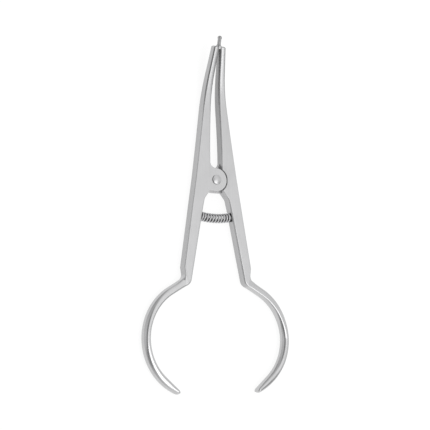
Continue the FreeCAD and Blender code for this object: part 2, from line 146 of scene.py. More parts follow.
# Joint, with the seam that keeps two faces from lying in one plane when they are joined
SEAM = 0.002
OVERCUT = 1
FRONT_BOSS = 4.9
REAR_BOSS = 5.2
BOSS_BREAK = 0.2
RECESS_GAP = 0.3
RECESS_BREAK = 0.16
LAP_CLEARANCE = 0.04
ROOT_FILLET = 2.7
NOTCH_FILLET = 2
RIVET_RADIUS = 1.5
RIVET_HEAD = 2
RIVET_RIM = 0.3
RIVET_RIM_ROUND = 0.16
RIVET_HEIGHT = 0.8
RIVET_FLARE = 0.5
RIVET_FOOT_BREAK = (0.05, 0.03)
RIVET_SEAT = 0.005
RIVET_HEAD_BREAK = 0.06
RIVET_FIT = 0.01
RIVET_CLEARANCE = 0.03
FOOT_CLEARANCE = 0.045

# Spring
SPRING_Y = -16
SPRING_TURNS = 11
WIRE_RADIUS = 0.44
COIL_RADIUS = 1.61
CLOSED_PITCH = 0.93
END_STANDOFF = 1.03
POINTS_PER_TURN = 40
WIRE_SIDES = 14

# Where along Y painted shade darkens the arms' sides between the jaws and their edges on the bent beaks, and
# where the prong is darker
JAWS_SHADE_Y = (-4, 10)
BEAKS_SHADE_Y = (20, 38)
PRONG_DARKER_Y = (SHOULDER_Y - 0.6, SHOULDER_Y + 0.5)

# How much wear, haze and scratches do to a steel's roughness and tone, and how much painted shade darkens its
# sides, its beak edges and the inside of the coil, and less so on the bows
WEAR_POLISH = 0.35
HAZE_ROUGHNESS = 0.05
SCRATCH_ROUGHNESS = 0.10
GRAIN_TONES = (0.94, 1.05)
JAWS_PAINTED_SHADE = 0.2
BEAK_EDGE_PAINTED_SHADE = 0.62
BOWS_BRIGHTER = 0.6
COIL_SHADE_DARKNESS = 0.72
BUMP_STRENGTH = 0.12
BUMP_DISTANCE = 0.00006

# Sky brightness at places from one side to the other, from 0 to 1, and its darker places in directions across
# and along, each with a squash along, a reach and a depth
SKY_ACROSS = ((0.0, 0.8), (0.15, 0.68), (0.28, 0.6), (0.42, 0.75), (0.5, 1.05), (0.72, 1.05), (0.8, 0.85),
              (0.97, 0.9))
SKY_RISE = ((0.0, 0.92), (0.3, 0.96), (0.7, 1.03))
SKY_AWAY = ((0.0, 1.04), (0.6, 1.04), (0.95, 0.82))
SKY_GAPS = ((-0.25, 0.06, 0.6, 0.38, 0.38), (-0.62, -0.36, 1, 0.4, 0.42), (0.78, -0.36, 1, 0.4, 0.5))
SKY_GAP_CORE = 0.1

# Camera: its lean and roll, and where the rivet stands in the photograph's frame
FRAME_PIXELS = 430
RIVET_PIXEL = (216.83, 179.65)
MM_PER_PIXEL = 0.416
RIVET_MARK_Z = 4.24
CAMERA_DISTANCE = 550
CAMERA_SIDE = math.radians(30)
CAMERA_LEAN = 0.0734
CAMERA_ROLL = 0.0547
SENSOR = 36


# Small helpers

def lerp(a, b, t):
    return a + (b - a) * t


def part_way(first, second, t):
    """A pair of sizes part of the way from one pair to another."""
    return tuple(lerp(a, b, t) for a, b in zip(first, second))


def smooth(t):
    """An even start and stop between 0 and 1."""
    t = min(max(t, 0), 1)
    return t * t * (3 - 2 * t)


def ramp(value, *stops):
    """Straight lines between (place, value) stops."""
    for (x0, y0), (x1, y1) in zip(stops, stops[1:]):
        if value <= x1:
            return lerp(y0, y1, min(max((value - x0) / (x1 - x0), 0), 1))
    return stops[-1][1]


def arc_points(centre, radius, first, last, steps):
    cx, cy = centre
    angles = [lerp(first, last, k / steps) for k in range(steps + 1)]
    return [(cx + radius * math.cos(a), cy + radius * math.sin(a)) for a in angles]


def quarter(steps, first=0):
    """Angles from 0 to a right angle in even steps."""
    return [math.pi / 2 * k / steps for k in range(first, steps + 1)]


def rounded(points, radii):
    """A path through the points with its inner corners rounded; radii holds one radius for each point."""
    path = []
    for k, (point, radius) in enumerate(zip(points, radii)):
        if not radius or k in (0, len(points) - 1):
            path.append(point)
            continue
        here = Vector(point)
        back = (Vector(points[k - 1]) - here).normalized()
        ahead = (Vector(points[k + 1]) - here).normalized()
        half = back.angle(ahead) / 2
        run = radius / math.tan(half)
        centre = here + (back + ahead).normalized() * (radius / math.sin(half))
        start = here + back * run - centre
        end = here + ahead * run - centre
        turn = start.angle_signed(end)
        for step in range(ROUND_STEPS + 1):
            swing = Matrix.Rotation(-turn * step / ROUND_STEPS, 2)
            path.append(tuple(centre + swing @ start))
    return path


def resampled(path, count):
    """The path's points, spread evenly along it."""
    path = [Vector(p) for p in path]
    reach = [0.0]
    for a, b in zip(path, path[1:]):
        reach.append(reach[-1] + (b - a).length)
    out, k = [], 0
    for step in range(count + 1):
        want = reach[-1] * step / count
        while k < len(path) - 2 and reach[k + 1] < want:
            k += 1
        span = reach[k + 1] - reach[k]
        out.append(tuple(path[k].lerp(path[k + 1], (want - reach[k]) / span if span else 0)))
    return out


def linked(name, data):
    """A new object in the scene."""
    made = bpy.data.objects.new(name, data)
    bpy.context.scene.collection.objects.link(made)
    return made


def face_outwards(mesh, merge=False):
    """Turn a closed mesh's faces outwards, after its doubles are merged if asked."""
    bm = bmesh.new()
    bm.from_mesh(mesh)
    if merge:
        bmesh.ops.remove_doubles(bm, verts=bm.verts, dist=1e-7)
    bmesh.ops.recalc_face_normals(bm, faces=bm.faces)
    bm.to_mesh(mesh)
    bm.free()


def evaluated_mesh(piece):
    """A plain mesh of the piece as its modifiers leave it."""
    bpy.context.view_layer.update()
    graph = bpy.context.evaluated_depsgraph_get()
    return bpy.data.meshes.new_from_object(piece.evaluated_get(graph))


def skinned(name, rings):
    """A closed, capped object over rings of equally many points in millimetres."""
    count = len(rings[0])
    points = [Vector(p) * MM for ring in rings for p in ring]
    faces = []
    for k in range(len(rings) - 1):
        for j in range(count):
            nxt = (j + 1) % count
            faces.append((k * count + j, k * count + nxt, (k + 1) * count + nxt, (k + 1) * count + j))
    faces.append(tuple(range(count)))
    faces.append(tuple(range(len(points) - count, len(points))))
    mesh = bpy.data.meshes.new(name)
    mesh.from_pydata(points, [], faces)
    face_outwards(mesh, merge=True)
    return linked(name, mesh)


def combine(target, operation, cutter):
    """Union with or cut by another object, which is used up."""
    tool = target.modifiers.new("joined", "BOOLEAN")
    tool.operation = operation
    tool.solver = "EXACT"
    tool.object = cutter
    mesh = evaluated_mesh(target)
    target.modifiers.remove(tool)
    target.data = mesh
    bpy.data.objects.remove(cutter)


# Outline of an arm, laid out as for the right arm

def bow_point(radius, angle):
    return (BOW_CENTRE[0] + radius * math.cos(angle), BOW_CENTRE[1] + radius * math.sin(angle))


def bar_point(radius, run):
    """A point on the straight bar, a run before the bow's round begins."""
    x, y = bow_point(radius, BOW_START)
    return (x - run * math.sin(BOW_START), y + run * math.cos(BOW_START))


def handle_top():
    """The top of the handle's straight inner edge."""
    x, y = bar_point(BOW_INSIDE, INNER_RUN)
    return (x - HANDLE_LENGTH * math.sin(HANDLE_LEAN), y + HANDLE_LENGTH * math.cos(HANDLE_LEAN))


HANDLE_TOP = handle_top()
SPRING_CENTRE_Y = HANDLE_TOP[1] + HANDLE_TOP[0] / math.tan(HANDLE_LEAN)
SPRING_SWEEP = SPRING_CENTRE_Y - SPRING_Y


def sweep_x(y, near, far, radius, bulge):
    """Across, at a y on a long flat arc between two points; bulge is +1 where it lies outside its chord."""
    (x0, y0), (x1, y1) = near, far
    chord = math.hypot(x1 - x0, y1 - y0)
    t = (y - y0) / (y1 - y0)
    return lerp(x0, x1, t) + bulge * t * (1 - t) * chord * chord / (2 * radius)


def inner_x(y):
    """The arm's inner edge, from the handle to the beak's tip."""
    if y < HANDLE_TOP[1]:
        return HANDLE_TOP[0] + (HANDLE_TOP[1] - y) * math.tan(HANDLE_LEAN)
    if y < HORN_Y:
        return lerp(HANDLE_TOP[0], JAW_ROOT[0], (y - HANDLE_TOP[1]) / (HORN_Y - HANDLE_TOP[1]))
    if y < JAW_ROOT[1]:
        return JAW_ROOT[0]
    return max(sweep_x(y, JAW_ROOT, (PARTING, BLANK_END_Y), JAW_SWEEP, 1), PARTING)


def outer_x(y):
    """The arm's outer edge, from the elbow to the beak's tip."""
    if y < 0:
        return lerp(JOINT_HALF_WIDTH, ELBOW_TIP[0], y / ELBOW_TIP[1])
    return sweep_x(y, (JOINT_HALF_WIDTH, 0), (TIP_HALF_WIDTH, BLANK_END_Y), BEAK_SWEEP, -1)


def bar_stretches(path):
    """The bar's straight, its first rounded corner and the rest of the path."""
    corner_end = 1 + ROUND_STEPS
    return path[:2], path[1:corner_end + 1], path[corner_end:]


def ribs():
    """Pairs of inner and outer edge points, from the bow's end to where the beak begins to bend."""
    pairs = []
    for k in range(BOW_RIBS):
        angle = lerp(BOW_END, BOW_START, k / BOW_RIBS)
        inside = BOW_INSIDE / math.cos(min(angle - BOW_TAPER, 0))
        pairs.append((bow_point(inside, angle), bow_point(BOW_OUTSIDE, angle)))
    inner_end = (inner_x(SQUARE_RIBS_Y), SQUARE_RIBS_Y)
    outer_end = (outer_x(SQUARE_RIBS_Y), SQUARE_RIBS_Y)
    inner = rounded([bow_point(BOW_INSIDE, BOW_START), bar_point(BOW_INSIDE, INNER_RUN), inner_end],
                    [0, ELBOW_INNER_ROUND, 0])
    outer = rounded([bow_point(BOW_OUTSIDE, BOW_START), bar_point(BOW_OUTSIDE, OUTER_RUN),
                     ELBOW_TIP, outer_end],
                    [0, ELBOW_HOLLOW, ELBOW_TIP_ROUND, 0])
    for a, b, count in zip(bar_stretches(inner), bar_stretches(outer), BAR_RIBS):
        pairs += list(zip(resampled(a, count), resampled(b, count)))[:-1]
    y = SQUARE_RIBS_Y
    while y < BEND_START:
        pairs.append(((inner_x(y), y), (outer_x(y), y)))
        y += RIB_STEP
    return pairs


# Sections of an arm

def past_crease(x, y):
    """Distance past the line where the flat handle meets the rounded bar, towards the bow."""
    x0, y0, x1, y1 = CREASE
    dx, dy = x1 - x0, y1 - y0
    return ((y - y0) * dx - (x - x0) * dy) / math.hypot(dx, dy)


def section(width, height, inner, outer, corner=7, flat=7, side=3):
    """A rounded section as (across, up) pairs from 0,0; each rounding is given as width and height."""
    shape = []

    def turn(cx, cy, rw, rh, first):
        for k in range(corner + 1):
            angle = first + math.pi / 2 * k / corner
            shape.append((cx + rw * math.cos(angle), cy + rh * math.sin(angle)))

    def run(start, end, count):
        for k in range(1, count):
            shape.append((lerp(start[0], end[0], k / count), lerp(start[1], end[1], k / count)))

    (inner_w, inner_h), (outer_w, outer_h) = inner, outer
    turn(width - outer_w, height - outer_h, outer_w, outer_h, 0)
    run((width - outer_w, height), (inner_w, height), flat)
    turn(inner_w, height - inner_h, inner_w, inner_h, math.pi / 2)
    run((0, height - inner_h), (0, inner_h), side)
    turn(inner_w, inner_h, inner_w, inner_h, math.pi)
    run((inner_w, 0), (width - outer_w, 0), flat)
    turn(width - outer_w, outer_h, outer_w, outer_h, -math.pi / 2)
    run((width, outer_h), (width, height - outer_h), side)
    return shape


def rounded_section(width, height, outer, inner):
    """A section whose roundings are held to what it has room for."""
    shrink = min(1, ROUNDS_ACROSS * width / (inner[0] + outer[0]))
    inner = inner[0] * shrink, min(inner[1], ROUND_UP * height)
    outer = outer[0] * shrink, min(outer[1], ROUND_UP * height)
    return section(width, height, inner, outer)


def edge_rounds(x, y, hand):
    """Width and height of the outer and the inner edges' rounding at a place on the arm."""
    past = past_crease(x, y)
    if y < ELBOW_Y or past > 0:
        below = math.degrees(math.atan2(BOW_CENTRE[1] - y, x - BOW_CENTRE[0]))
        outer, inner = ((ramp(below, *stops), BOW_ROUND_HEIGHT) for stops in BOW_ROUNDS[hand])
        t = smooth((past + BOW_ROUND_LEAD) / BOW_ROUND_RUN)
        return part_way(ELBOW_OUTER, outer, t), part_way(ELBOW_INNER, inner, t)
    plain_round = ramp(y, *INNER_ROUNDS)
    start, end = BEAK_ROUNDS_Y
    t = smooth((y - start) / (end - start))
    return part_way(HANDLE_OUTER, BEAK_OUTER, t), part_way((plain_round, plain_round), BEAK_INNER, t)


def round_inset(radius, travelled):
    """How far a round end of the given radius draws in at a distance from its tip."""
    return radius - math.sqrt(radius ** 2 - max(radius - travelled, 0) ** 2)


def arm_rings(hand):
    """Rings of the arm's skin from the bow's end to the shoulder."""
    rings = []
    travelled = 0
    before = None
    for inner, outer in ribs():
        a, b = Vector(inner), Vector(outer)
        middle = (a + b) / 2
        travelled += (middle - before).length if before else 0
        before = middle
        inset = min(round_inset(BOW_END_ROUND, travelled), BOW_END_SHARE * (b - a).length)
        width = (b - a).length - 2 * inset
        height = THICKNESS - 2 * inset
        across = (b - a).normalized()
        ring = []
        for w, h in rounded_section(width, height, *edge_rounds(middle.x, middle.y, hand)):
            place = a + across * (w + inset)
            drop = lerp(*BAR_DROP, (w / width) ** 2) * smooth(past_crease(place.x, place.y) / BAR_DROP_RUN)
            drop *= smooth((h / height - 0.5) * 4)
            ring.append((place.x, place.y, h + inset - drop))
        rings.append(ring)
    return rings + beak_rings()


def bend_top(along):
    """Y, Z and slope of the beak's top face at a distance along it from where the bend begins."""
    slope = min(along / BEND_RADIUS, BEND)
    straight = along - BEND_RADIUS * slope
    y = BEND_START + BEND_RADIUS * math.sin(slope) + straight * math.cos(BEND)
    z = THICKNESS + BEND_RADIUS * (1 - math.cos(slope)) + straight * math.sin(BEND)
    return y, z, slope


def beak_rings():
    """Rings of the bent beak, square to its top face."""
    rings = []
    total = BEND_RADIUS * BEND + (SHOULDER_Y - BEND_START - BEND_RADIUS * math.sin(BEND)) / math.cos(BEND)
    for k in range(BEAK_RIBS + 1):
        along = total * k / BEAK_RIBS
        y, z, slope = bend_top(along)
        thick = lerp(THICKNESS, END_THICKNESS, smooth(along / total))
        inset = min(round_inset(SHOULDER_ROUND, total - along), 0.9 * SHOULDER_ROUND)
        width = outer_x(y) - inner_x(y)
        ring = []
        for w, h in rounded_section(width, thick, *edge_rounds(JOINT_HALF_WIDTH, y, 1)):
            down = thick - h
            share = w / width
            lift = inset * (0.5 - down / thick) * 2
            ring_y = y + down * math.sin(slope)
            x = lerp(inner_x(ring_y), outer_x(ring_y), share) - inset * smooth(share * 2 - 0.6)
            ring.append((x, ring_y + lift * math.sin(slope), z - (down + lift) * math.cos(slope)))
        rings.append(ring)
    return rings


# Prong, boss, recess and rivet

def on_shoulder(along, down):
    """A point past the shoulder, below the top face and square to the bent beak, as y and z."""
    rise = BEND_RADIUS * (1 - math.cos(BEND))
    run = SHOULDER_Y - BEND_START - BEND_RADIUS * math.sin(BEND)
    top = THICKNESS + rise + run * math.tan(BEND)
    y = SHOULDER_Y + along * math.cos(BEND) + down * math.sin(BEND)
    z = top + along * math.sin(BEND) - down * math.cos(BEND)
    return y, z


def prong_half():
    """The right half of the round prong with its flared root, its flat side on the parting line."""
    root = NECK_RADIUS + FLARE_OUT
    lip_start = PRONG_LENGTH - LIP_LENGTH
    nose_start = PRONG_LENGTH - PRONG_NOSE
    profile = [(-FLARE_ALONG, root), (0.0, root)]
    profile += [(FLARE_ALONG * (1 - math.cos(a)), root - FLARE_OUT * math.sin(a)) for a in quarter(8, 1)]
    profile.append((lip_start - NECK_EASE, NECK_RADIUS))
    for k in range(1, 7):
        profile.append((lip_start + LIP_SLOPE * k / 6, lerp(NECK_RADIUS, LIP_RADIUS, smooth(k / 6))))
    profile += [(nose_start + PRONG_NOSE * math.sin(a), LIP_RADIUS - PRONG_NOSE * (1 - math.cos(a)))
                for a in quarter(8)]
    around = 28
    rings = []
    for along, radius in profile:
        ring = []
        for k in range(around + 1):
            angle = -math.pi / 2 + math.pi * k / around
            ring.append((PARTING + SEAM + radius * math.cos(angle),
                         *on_shoulder(along, PRONG_DEPTH - radius * math.sin(angle))))
        rings.append(ring)
    return skinned("prong_half", rings)


def turned(name, levels, around=96):
    """A solid of revolution about the rivet's axis from (radius, height) pairs."""
    angles = [2 * math.pi * k / around for k in range(around)]
    rings = [[(radius * math.cos(a), radius * math.sin(a), z) for a in angles] for radius, z in levels]
    return skinned(name, rings)


def boss_outline(radius):
    """The boss with its hollow roots, seen from above, for the right arm."""
    jaw = JAW_ROOT[0]
    root_x = jaw - ROOT_FILLET
    root_y = math.sqrt((radius + ROOT_FILLET) ** 2 - root_x ** 2)
    touch = math.atan2(root_y, root_x)
    notch_y = radius + NOTCH_FILLET
    handle_x = HANDLE_TOP[0] + (notch_y + HANDLE_TOP[1]) * math.tan(HANDLE_LEAN)
    notch_x = handle_x - NOTCH_FILLET / math.cos(HANDLE_LEAN)
    outline = [(jaw + NOTCH_FILLET, root_y)]
    outline += arc_points((root_x, root_y), ROOT_FILLET, 0, touch - math.pi, 16)
    outline += arc_points((0, 0), radius, touch, 1.5 * math.pi, 72)[1:]
    outline += arc_points((notch_x, -notch_y), NOTCH_FILLET, math.pi / 2, HANDLE_LEAN, 10)
    last_x, last_y = outline[-1]
    outline.append((last_x + NOTCH_FILLET, last_y))
    return outline


def boss(front):
    """A half-thickness boss for the right arm, its rim broken on the side that shows."""
    low = (THICKNESS + LAP_CLEARANCE) / 2 + SEAM if front else SEAM
    high = THICKNESS - SEAM if front else (THICKNESS - LAP_CLEARANCE) / 2 - SEAM
    rim = [(BOSS_BREAK * (1 - math.cos(t)), BOSS_BREAK * (1 - math.sin(t))) for t in quarter(4)]
    if front:
        levels = [(0, low)] + [(inset, high - drop) for inset, drop in rim]
    else:
        levels = [(inset, low + drop) for inset, drop in rim[::-1]] + [(0, high)]
    outline = boss_outline(FRONT_BOSS if front else REAR_BOSS)
    count = len(outline)
    rings = []
    for inset, z in levels:
        ring = []
        for k, point in enumerate(outline):
            along = Vector(outline[(k + 1) % count]) - Vector(outline[k - 1])
            outwards = Vector((along.y, -along.x)).normalized()
            ring.append((*(Vector(point) - outwards * inset), z))
        rings.append(ring)
    return skinned("boss", rings)


def recess(front):
    """The cutter that makes room for the other arm's boss, with a broken edge at the open side."""
    radius = (REAR_BOSS if front else FRONT_BOSS) + RECESS_GAP
    wide = radius + RECESS_BREAK
    if front:
        floor = (THICKNESS + LAP_CLEARANCE) / 2
        return turned("recess", [(wide, -OVERCUT), (wide, 0), (radius, RECESS_BREAK), (radius, floor)])
    floor = (THICKNESS - LAP_CLEARANCE) / 2
    return turned("recess", [(radius, floor), (radius, THICKNESS - RECESS_BREAK), (wide, THICKNESS),
                             (wide, THICKNESS + OVERCUT)])


def rivet_bore(front):
    """The cutter for the rivet's hole, opened out for its foot in the right arm."""
    top = THICKNESS + OVERCUT
    if front:
        return turned("bore", [(RIVET_RADIUS + RIVET_FIT, -OVERCUT), (RIVET_RADIUS + RIVET_FIT, top)])
    foot = RIVET_RADIUS + RIVET_FLARE + FOOT_CLEARANCE
    hole = RIVET_RADIUS + RIVET_CLEARANCE
    return turned("bore", [(foot, -OVERCUT), (foot, 0), (hole, RIVET_FLARE), (hole, top)])


def build_arm(name, hand):
    """One arm. The left arm, hand -1, has its boss in front; the right arm has its boss behind."""
    front = hand < 0
    arm = skinned(name, arm_rings(hand))
    combine(arm, "UNION", prong_half())
    combine(arm, "DIFFERENCE", recess(front))
    combine(arm, "UNION", boss(front))
    combine(arm, "DIFFERENCE", rivet_bore(front))
    if front:
        for vertex in arm.data.vertices:
            vertex.co.x = -vertex.co.x
        arm.data.flip_normals()
    return arm


def build_rivet():
    """The rivet: a low dome over a steep rim in front and a foot peened flush behind."""
    foot = RIVET_RADIUS + RIVET_FLARE
    break_in, break_up = RIVET_FOOT_BREAK
    seat = THICKNESS + RIVET_SEAT
    rim = THICKNESS + RIVET_RIM
    crown = THICKNESS + RIVET_HEIGHT
    levels = [(0.0, 0), (foot - break_in, 0), (foot, break_up), (RIVET_RADIUS, RIVET_FLARE),
              (RIVET_RADIUS, seat),
              (RIVET_HEAD - RIVET_HEAD_BREAK, seat), (RIVET_HEAD, THICKNESS + RIVET_HEAD_BREAK),
              (RIVET_HEAD, rim)]
    levels += [(RIVET_HEAD - RIVET_RIM_ROUND * (1 - math.cos(a)), rim + RIVET_RIM_ROUND * math.sin(a))
               for a in quarter(6, 1)]
    edge, shoulder = levels[-1]
    for k in range(1, 11):
        left = 1 - k / 10
        levels.append((edge * left, crown - (crown - shoulder) * left ** 2))
    return turned("joint_rivet", levels, 72)


def finish_shading(piece, angle=32):
    """Smooth shading that keeps true flats flat."""
    piece.data.shade_smooth()
    piece.data.set_sharp_from_angle(angle=math.radians(angle))
    weighted = piece.modifiers.new("even_shading", "WEIGHTED_NORMAL")
    weighted.keep_sharp = True
    weighted.weight = 60


# Shorthand for node trees

class Tree:
    """A node tree, with the kinds of node that this file uses most."""

    def __init__(self, tree):
        self.tree = tree

    def node(self, kind, values=None, **settings):
        made = self.tree.nodes.new(kind)
        for key, value in settings.items():
            setattr(made, key, value)
        for key, value in (values or {}).items():
            self.feed(made.inputs[key], value)
        return made

    def feed(self, socket, value):
        if isinstance(value, bpy.types.NodeSocket):
            self.tree.links.new(value, socket)
        else:
            socket.default_value = value

    def math(self, operation, *values):
        made = self.node("ShaderNodeMath", operation=operation)
        for k, value in enumerate(values):
            self.feed(made.inputs[k], value)
        return made.outputs[0]

    def add(self, first, *rest):
        for value in rest:
            first = self.math("ADD", first, value)
        return first

    def take(self, first, second):
        return self.math("SUBTRACT", first, second)

    def times(self, first, *rest):
        for value in rest:
            first = self.math("MULTIPLY", first, value)
        return first

    def spread(self, value, low, high, first=0.0, last=1.0, soft=False):
        """A value from low to high, brought to run from first to last."""
        limits = {"Value": value, "From Min": low, "From Max": high, "To Min": first, "To Max": last}
        way = "SMOOTHSTEP" if soft else "LINEAR"
        return self.node("ShaderNodeMapRange", limits, interpolation_type=way).outputs[0]

    def parts(self, vector):
        return self.node("ShaderNodeSeparateXYZ", {0: vector}).outputs

    def vector(self, operation, first, second):
        return self.node("ShaderNodeVectorMath", {0: first, 1: second}, operation=operation).outputs[0]

    def noise(self, vector, scale, **values):
        """A noise texture's output sockets."""
        return self.node("ShaderNodeTexNoise", {"Vector": vector, "Scale": scale, **values}).outputs


def new_sockets(tree, way, sockets):
    """Add (name, kind, value) sockets to a tree's interface."""
    for name, kind, value in sockets:
        socket = tree.interface.new_socket(name, in_out=way, socket_type="NodeSocket" + kind)
        if value is not None:
            socket.default_value = value


# Coil spring, by Geometry Nodes

def coil_tree(wire):
    """A coil bent along an arc: an evenly wound middle and a closed turn at each end."""
    tree = bpy.data.node_groups.new("bent_coil", "GeometryNodeTree")
    new_sockets(tree, "INPUT", [
        ("Geometry", "Geometry", None),
        ("Turns", "Int", SPRING_TURNS),
        ("Points per Turn", "Int", POINTS_PER_TURN),
        ("Wire Radius", "Float", WIRE_RADIUS * MM),
        ("Coil Radius", "Float", COIL_RADIUS * MM),
        ("Sweep Radius", "Float", SPRING_SWEEP * MM),
        ("Centre Y", "Float", SPRING_CENTRE_Y * MM),
        ("Centre Z", "Float", THICKNESS / 2 * MM),
        ("Half Angle", "Float", HANDLE_LEAN),
        ("Closed Pitch", "Float", CLOSED_PITCH * MM)])
    new_sockets(tree, "OUTPUT", [("Geometry", "Geometry", None)])
    t = Tree(tree)
    size = t.node("NodeGroupInput").outputs
    turns, each = size["Turns"], size["Points per Turn"]
    sweep, coil = size["Sweep Radius"], size["Coil Radius"]
    line = t.node("GeometryNodeMeshLine", {"Count": t.add(t.times(turns, each), 1)})
    curve = t.node("GeometryNodeMeshToCurve", {"Mesh": line.outputs["Mesh"]})
    turn = t.math("DIVIDE", t.node("GeometryNodeInputIndex").outputs[0], each)
    last_turn = t.math("MAXIMUM", t.add(t.take(turn, turns), 1), 0)
    closed = t.add(t.math("MINIMUM", turn, 1), last_turn)
    middle_turns = t.take(turns, 2)
    opened = t.math("MINIMUM", t.math("MAXIMUM", t.take(turn, 1), 0), middle_turns)
    half = t.take(t.times(sweep, size["Half Angle"]), t.times(size["Wire Radius"], END_STANDOFF))
    open_pitch = t.math("DIVIDE", t.times(t.take(half, size["Closed Pitch"]), 2), middle_turns)
    travel = t.add(t.times(closed, size["Closed Pitch"]), t.times(opened, open_pitch))
    swing = t.math("DIVIDE", t.take(travel, half), sweep)
    spin = t.times(turn, 2 * math.pi)
    out = t.add(sweep, t.times(coil, t.math("COSINE", spin)))
    x = t.times(out, t.math("SINE", swing))
    y = t.take(size["Centre Y"], t.times(out, t.math("COSINE", swing)))
    z = t.add(size["Centre Z"], t.times(coil, t.math("SINE", spin)))
    place = t.node("ShaderNodeCombineXYZ", {"X": x, "Y": y, "Z": z})
    wound = t.node("GeometryNodeSetPosition", {"Geometry": curve.outputs[0], "Position": place.outputs[0]})
    ring = t.node("GeometryNodeCurvePrimitiveCircle", {"Resolution": WIRE_SIDES,
                                                       "Radius": size["Wire Radius"]})
    tube = t.node("GeometryNodeCurveToMesh", {"Curve": wound.outputs[0], "Profile Curve": ring.outputs[0],
                                              "Fill Caps": True})
    soft = t.node("GeometryNodeSetShadeSmooth", {"Geometry": tube.outputs[0]})
    plain = t.node("GeometryNodeRealizeInstances", {"Geometry": soft.outputs[0]})
    dressed = t.node("GeometryNodeSetMaterial", {"Geometry": plain.outputs[0], "Material": wire})
    t.node("NodeGroupOutput", {"Geometry": dressed.outputs[0]})
    return tree


def build_spring(wire):
    """The coil spring between the handles, turned into a plain mesh."""
    holder = linked("coil_holder", bpy.data.meshes.new("coil_holder"))
    nodes = holder.modifiers.new("coil", "NODES")
    nodes.node_group = coil_tree(wire)
    mesh = evaluated_mesh(holder)
    bpy.data.objects.remove(holder)
    face_outwards(mesh)
    return linked("coil_spring", mesh)


# Finishes

def effect(name, inputs, output):
    """An empty shader node group with named sockets: its shorthand, its inputs and its output node."""
    tree = bpy.data.node_groups.new(name, "ShaderNodeTree")
    new_sockets(tree, "INPUT", inputs)
    new_sockets(tree, "OUTPUT", [(output, "Float", None)])
    t = Tree(tree)
    return t, t.node("NodeGroupInput").outputs, t.node("NodeGroupOutput").inputs[output]


def grain_effect():
    """Fine lines left by a polishing belt, running along Y."""
    t, given, out = effect("belt_grain", [("Vector", "Vector", None), ("Across", "Float", 9000.0),
                                          ("Along", "Float", 260.0)], "Lines")
    stretch = t.node("ShaderNodeCombineXYZ", {"X": given["Across"], "Y": given["Along"],
                                              "Z": given["Across"]})
    place = t.vector("MULTIPLY", given["Vector"], stretch.outputs[0])
    fine = t.noise(place, 1.0, Detail=3.0, Roughness=0.65)
    coarse = t.noise(place, 0.23, Detail=2.0)
    t.feed(out, t.add(t.times(fine[0], 0.6), t.times(coarse[0], 0.4)))
    return t.tree


def scratch_effect():
    """Sparse thin scratches in two crossing directions."""
    t, given, out = effect("handling_scratches", [("Vector", "Vector", None), ("Density", "Float", 320.0),
                                                  ("Width", "Float", 0.035)], "Marks")
    marks = []
    for turn, stretch in ((0.5, 7.0), (-0.9, 9.0)):
        place = t.node("ShaderNodeMapping", {"Vector": given["Vector"], "Rotation": (0.3, 0.2, turn),
                                             "Scale": (1.0, 1.0 / stretch, 1.0)}).outputs[0]
        shift = t.vector("MULTIPLY", t.noise(place, 90.0, Detail=1.0)["Color"], (0.004, 0.004, 0.004))
        bent = t.vector("ADD", place, shift)
        cells = t.node("ShaderNodeTexVoronoi", {"Vector": bent, "Scale": given["Density"]},
                       feature="DISTANCE_TO_EDGE")
        line = t.math("LESS_THAN", cells.outputs["Distance"], given["Width"])
        patch = t.math("GREATER_THAN", t.noise(place, 140.0, Detail=2.0)[0], 0.6)
        marks.append(t.times(line, patch))
    t.feed(out, t.math("MAXIMUM", *marks))
    return t.tree


def haze_effect():
    """Slow, cloudy change of sheen from handling and wiping."""
    t, given, out = effect("wiping_haze", [("Vector", "Vector", None), ("Scale", "Float", 110.0)], "Haze")
    cloud = t.noise(given["Vector"], given["Scale"], Detail=4.0, Roughness=0.6, Distortion=0.4)
    t.feed(out, t.spread(cloud[0], 0.3, 0.7, soft=True))
    return t.tree


def lean_of(t, facing):
    """How near a normal is to half-way between face up and sideways, as on a rounded edge."""
    square = t.times(facing["Z"], facing["Z"])
    return t.times(square, t.take(1.0, square), 4.0)


def edge_effect():
    """Where a rounded edge leans between the face and the side, and handling polishes it."""
    t, given, out = effect("worn_edge", [("Normal", "Vector", None), ("Sharpness", "Float", 1.4)], "Wear")
    lean = lean_of(t, t.parts(given["Normal"]))
    t.feed(out, t.math("POWER", t.math("MAXIMUM", lean, 0.0), given["Sharpness"]))
    return t.tree


def bow_effect():
    """The polished bows, told from the satin handles by the slanting line across the elbow."""
    t, given, out = effect("past_elbow", [("Vector", "Vector", None),
                                          ("Softness", "Float", 0.0005)], "Polish")
    place = t.parts(given["Vector"])
    x0, y0, x1, y1 = CREASE
    length = math.hypot(x1 - x0, y1 - y0)
    x = t.take(t.math("ABSOLUTE", place["X"]), x0 * MM)
    y = t.take(place["Y"], y0 * MM)
    past = t.take(t.times(y, (x1 - x0) / length), t.times(x, (y1 - y0) / length))
    t.feed(out, t.spread(past, 0.0, given["Softness"]))
    return t.tree


def flank_effect():
    """Painted shade on the arms' sides, darker than the ground faces, above all between the beaks and along
    their edges, and a darker prong.
    """
    t, given, out = effect("painted_flank_shade", [("Vector", "Vector", None), ("Normal", "Vector", None),
                                          ("Side", "Float", 0.17), ("Between", "Float", 0.2),
                                          ("Beak Edges", "Float", 0.0), ("Prong", "Float", 0.27)], "Side Shade")
    place = t.parts(given["Vector"])
    facing = t.parts(given["Normal"])
    upright = t.spread(t.math("ABSOLUTE", facing["Z"]), 0.75, 0.35, soft=True)
    inwards = t.times(t.math("SIGN", place["X"]), facing["X"], -1.0)
    jaws, bent, prong = (t.spread(place["Y"], start * MM, end * MM)
                         for start, end in (JAWS_SHADE_Y, BEAKS_SHADE_Y, PRONG_DARKER_Y))
    between = t.times(t.spread(inwards, 0.3, 0.8), jaws, given["Between"])
    sides = t.times(upright, t.add(given["Side"], between))
    lean = lean_of(t, facing)
    edges = t.times(lean, lean, bent, given["Beak Edges"], t.take(1.0, prong))
    t.feed(out, t.math("MAXIMUM", t.math("MAXIMUM", sides, edges), t.times(prong, given["Prong"])))
    return t.tree


